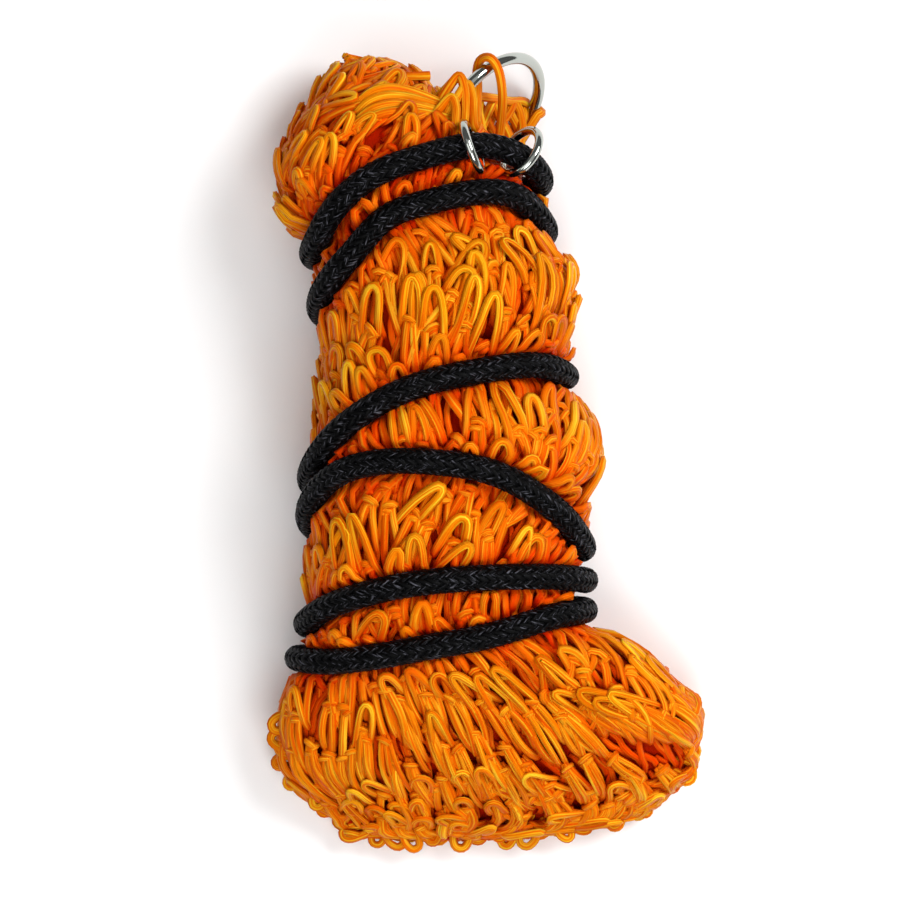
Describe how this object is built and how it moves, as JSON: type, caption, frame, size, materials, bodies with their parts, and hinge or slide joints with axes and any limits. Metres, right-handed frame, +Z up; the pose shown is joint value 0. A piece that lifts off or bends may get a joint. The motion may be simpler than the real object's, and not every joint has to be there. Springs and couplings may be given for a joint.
{
  "type": "bundled slow feed hay net",
  "caption": "Knotted twine hay net bunched into a bundle, wound with its braided drawcord, with a hanging ring at the head and small rings on the cord.",
  "frame": {"origin": "on the table, under the middle of the bundle's overall box", "axes": "+Y along the bundle to its head and hanging ring, +X across it to the side that the skirt flares to, +Z up from the table"},
  "size_m": [0.1611, 0.2931, 0.0811],
  "materials": {
    "twine": "glossy polyethylene twine",
    "cord": "braided polypropylene",
    "ring": "bright chromed steel"
  },
  "bodies": {
    "root": {"net": "twine", "drawcord": "cord", "hanging_ring": "ring", "cord_ring_a": "ring", "cord_ring_b": "ring"}
  },
  "joints": []
}
